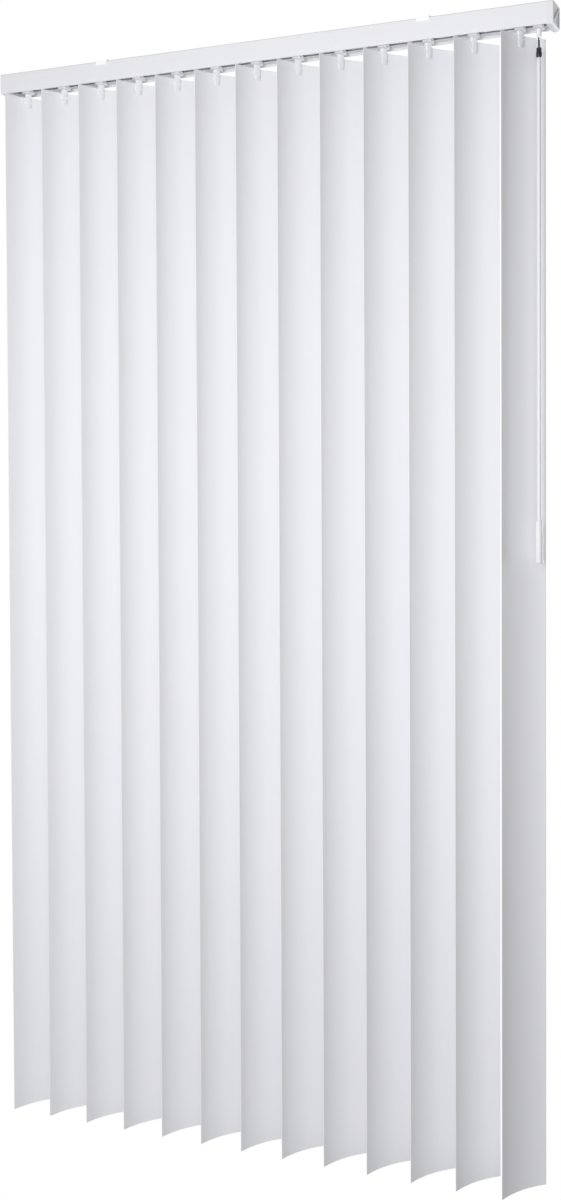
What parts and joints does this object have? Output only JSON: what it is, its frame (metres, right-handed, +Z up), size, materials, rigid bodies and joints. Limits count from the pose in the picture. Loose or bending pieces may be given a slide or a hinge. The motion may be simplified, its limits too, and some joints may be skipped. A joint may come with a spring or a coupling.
{
  "type": "vertical blind",
  "caption": "White vertical blind: slim aluminium headrail, curved vinyl vanes turned half open, and a slender white wand with a black wire link at the right.",
  "frame": {"origin": "midway between the two fixing screws, in the plane of the ceiling that the clips sit against", "axes": "+X along the headrail towards the wand, -Y towards the room, +Z up"},
  "size_m": [1, 0.0733, 1.8365],
  "materials": {
    "rail_aluminium": "satin",
    "cap_plastic": "satin",
    "clip_plastic": "gloss",
    "carrier_plastic": "satin",
    "hanger_plastic": "satin",
    "vane_pvc": "matte",
    "rod_aluminium": "satin",
    "wire_black": "satin",
    "connector_black": "satin",
    "wand_plastic": "gloss"
  },
  "bodies": {
    "headrail": {"rail": "rail_aluminium", "end_cap_left": "cap_plastic", "end_cap_right": "cap_plastic", "mount_clip_left": "clip_plastic", "mount_clip_right": "clip_plastic", "carrier_01": "carrier_plastic"},
    "tilt_rod": {"tilt_rod": "rod_aluminium"},
    "carriage_02": {"carrier_02": "carrier_plastic"},
    "carriage_03": {"carrier_03": "carrier_plastic"},
    "carriage_04": {"carrier_04": "carrier_plastic"},
    "carriage_05": {"carrier_05": "carrier_plastic"},
    "carriage_06": {"carrier_06": "carrier_plastic"},
    "carriage_07": {"carrier_07": "carrier_plastic"},
    "carriage_08": {"carrier_08": "carrier_plastic"},
    "carriage_09": {"carrier_09": "carrier_plastic"},
    "carriage_10": {"carrier_10": "carrier_plastic"},
    "carriage_11": {"carrier_11": "carrier_plastic"},
    "carriage_12": {"carrier_12": "carrier_plastic"},
    "lead_carriage": {"carrier_13": "carrier_plastic", "control_carrier": "carrier_plastic"},
    "hung_vane_01": {"hanger_01": "hanger_plastic", "vane_01": "vane_pvc"},
    "hung_vane_02": {"hanger_02": "hanger_plastic", "vane_02": "vane_pvc"},
    "hung_vane_03": {"hanger_03": "hanger_plastic", "vane_03": "vane_pvc"},
    "hung_vane_04": {"hanger_04": "hanger_plastic", "vane_04": "vane_pvc"},
    "hung_vane_05": {"hanger_05": "hanger_plastic", "vane_05": "vane_pvc"},
    "hung_vane_06": {"hanger_06": "hanger_plastic", "vane_06": "vane_pvc"},
    "hung_vane_07": {"hanger_07": "hanger_plastic", "vane_07": "vane_pvc"},
    "hung_vane_08": {"hanger_08": "hanger_plastic", "vane_08": "vane_pvc"},
    "hung_vane_09": {"hanger_09": "hanger_plastic", "vane_09": "vane_pvc"},
    "hung_vane_10": {"hanger_10": "hanger_plastic", "vane_10": "vane_pvc"},
    "hung_vane_11": {"hanger_11": "hanger_plastic", "vane_11": "vane_pvc"},
    "hung_vane_12": {"hanger_12": "hanger_plastic", "vane_12": "vane_pvc"},
    "hung_vane_13": {"hanger_13": "hanger_plastic", "vane_13": "vane_pvc"},
    "wand_stem": {"wand_stem": "wand_plastic"},
    "wand_hook": {"wand_hook": "wire_black"},
    "wand": {"wand_connector": "connector_black", "wand_rod": "wand_plastic", "wand_handle": "wand_plastic"}
  },
  "joints": [
    {"name": "traverse", "type": "slide", "parent": "headrail", "child": "lead_carriage", "axis": [-1, 0, 0], "range_m": [0, 0.708]},
    {"name": "traverse_02", "type": "slide", "parent": "headrail", "child": "carriage_02", "axis": [-1, 0, 0], "range_m": [0, 0.059]},
    {"name": "traverse_03", "type": "slide", "parent": "headrail", "child": "carriage_03", "axis": [-1, 0, 0], "range_m": [0, 0.118]},
    {"name": "traverse_04", "type": "slide", "parent": "headrail", "child": "carriage_04", "axis": [-1, 0, 0], "range_m": [0, 0.177]},
    {"name": "traverse_05", "type": "slide", "parent": "headrail", "child": "carriage_05", "axis": [-1, 0, 0], "range_m": [0, 0.236]},
    {"name": "traverse_06", "type": "slide", "parent": "headrail", "child": "carriage_06", "axis": [-1, 0, 0], "range_m": [0, 0.295]},
    {"name": "traverse_07", "type": "slide", "parent": "headrail", "child": "carriage_07", "axis": [-1, 0, 0], "range_m": [0, 0.354]},
    {"name": "traverse_08", "type": "slide", "parent": "headrail", "child": "carriage_08", "axis": [-1, 0, 0], "range_m": [0, 0.413]},
    {"name": "traverse_09", "type": "slide", "parent": "headrail", "child": "carriage_09", "axis": [-1, 0, 0], "range_m": [0, 0.472]},
    {"name": "traverse_10", "type": "slide", "parent": "headrail", "child": "carriage_10", "axis": [-1, 0, 0], "range_m": [0, 0.531]},
    {"name": "traverse_11", "type": "slide", "parent": "headrail", "child": "carriage_11", "axis": [-1, 0, 0], "range_m": [0, 0.59]},
    {"name": "traverse_12", "type": "slide", "parent": "headrail", "child": "carriage_12", "axis": [-1, 0, 0], "range_m": [0, 0.649]},
    {"name": "tilt", "type": "hinge", "parent": "lead_carriage", "child": "hung_vane_13", "pos_m": [0.4435, 0, -0.038], "axis": [0, 0, 1], "range_deg": [-35, 105]},
    {"name": "tilt_01", "type": "hinge", "parent": "headrail", "child": "hung_vane_01", "pos_m": [-0.4565, 0, -0.038], "axis": [0, 0, 1], "range_deg": [-35, 105]},
    {"name": "tilt_02", "type": "hinge", "parent": "carriage_02", "child": "hung_vane_02", "pos_m": [-0.3815, 0, -0.038], "axis": [0, 0, 1], "range_deg": [-35, 105]},
    {"name": "tilt_03", "type": "hinge", "parent": "carriage_03", "child": "hung_vane_03", "pos_m": [-0.3065, 0, -0.038], "axis": [0, 0, 1], "range_deg": [-35, 105]},
    {"name": "tilt_04", "type": "hinge", "parent": "carriage_04", "child": "hung_vane_04", "pos_m": [-0.2315, 0, -0.038], "axis": [0, 0, 1], "range_deg": [-35, 105]},
    {"name": "tilt_05", "type": "hinge", "parent": "carriage_05", "child": "hung_vane_05", "pos_m": [-0.1565, 0, -0.038], "axis": [0, 0, 1], "range_deg": [-35, 105]},
    {"name": "tilt_06", "type": "hinge", "parent": "carriage_06", "child": "hung_vane_06", "pos_m": [-0.0815, 0, -0.038], "axis": [0, 0, 1], "range_deg": [-35, 105]},
    {"name": "tilt_07", "type": "hinge", "parent": "carriage_07", "child": "hung_vane_07", "pos_m": [-0.0065, 0, -0.038], "axis": [0, 0, 1], "range_deg": [-35, 105]},
    {"name": "tilt_08", "type": "hinge", "parent": "carriage_08", "child": "hung_vane_08", "pos_m": [0.0685, 0, -0.038], "axis": [0, 0, 1], "range_deg": [-35, 105]},
    {"name": "tilt_09", "type": "hinge", "parent": "carriage_09", "child": "hung_vane_09", "pos_m": [0.1435, 0, -0.038], "axis": [0, 0, 1], "range_deg": [-35, 105]},
    {"name": "tilt_10", "type": "hinge", "parent": "carriage_10", "child": "hung_vane_10", "pos_m": [0.2185, 0, -0.038], "axis": [0, 0, 1], "range_deg": [-35, 105]},
    {"name": "tilt_11", "type": "hinge", "parent": "carriage_11", "child": "hung_vane_11", "pos_m": [0.2935, 0, -0.038], "axis": [0, 0, 1], "range_deg": [-35, 105]},
    {"name": "tilt_12", "type": "hinge", "parent": "carriage_12", "child": "hung_vane_12", "pos_m": [0.3685, 0, -0.038], "axis": [0, 0, 1], "range_deg": [-35, 105]},
    {"name": "rod_turn", "type": "hinge", "parent": "headrail", "child": "tilt_rod", "pos_m": [0, 0.008, -0.0245], "axis": [1, 0, 0], "range_deg": [-280, 840]},
    {"name": "stem_turn", "type": "hinge", "parent": "lead_carriage", "child": "wand_stem", "pos_m": [0.4727, 0, -0.038], "axis": [0, 0, 1], "range_deg": [-360, 1080]},
    {"name": "hook_swing", "type": "hinge", "parent": "wand_stem", "child": "wand_hook", "pos_m": [0.4727, 0, -0.0495], "axis": [0, -1, 0], "range_deg": [0, 40]},
    {"name": "wand_swing", "type": "hinge", "parent": "wand_hook", "child": "wand", "pos_m": [0.4727, 0, -0.067], "axis": [0, -1, 0], "range_deg": [0, 45]}
  ],
  "couplings": [
    {"joint": "traverse_02", "follows": "traverse", "ratio": 0.083333},
    {"joint": "traverse_03", "follows": "traverse", "ratio": 0.16667},
    {"joint": "traverse_04", "follows": "traverse", "ratio": 0.25},
    {"joint": "traverse_05", "follows": "traverse", "ratio": 0.33333},
    {"joint": "traverse_06", "follows": "traverse", "ratio": 0.41667},
    {"joint": "traverse_07", "follows": "traverse", "ratio": 0.5},
    {"joint": "traverse_08", "follows": "traverse", "ratio": 0.58333},
    {"joint": "traverse_09", "follows": "traverse", "ratio": 0.66667},
    {"joint": "traverse_10", "follows": "traverse", "ratio": 0.75},
    {"joint": "traverse_11", "follows": "traverse", "ratio": 0.83333},
    {"joint": "traverse_12", "follows": "traverse", "ratio": 0.91667},
    {"joint": "tilt_01", "follows": "tilt", "ratio": 1},
    {"joint": "tilt_02", "follows": "tilt", "ratio": 1},
    {"joint": "tilt_03", "follows": "tilt", "ratio": 1},
    {"joint": "tilt_04", "follows": "tilt", "ratio": 1},
    {"joint": "tilt_05", "follows": "tilt", "ratio": 1},
    {"joint": "tilt_06", "follows": "tilt", "ratio": 1},
    {"joint": "tilt_07", "follows": "tilt", "ratio": 1},
    {"joint": "tilt_08", "follows": "tilt", "ratio": 1},
    {"joint": "tilt_09", "follows": "tilt", "ratio": 1},
    {"joint": "tilt_10", "follows": "tilt", "ratio": 1},
    {"joint": "tilt_11", "follows": "tilt", "ratio": 1},
    {"joint": "tilt_12", "follows": "tilt", "ratio": 1},
    {"joint": "rod_turn", "follows": "tilt", "ratio": 8},
    {"joint": "stem_turn", "follows": "tilt", "ratio": 10.286}
  ]
}
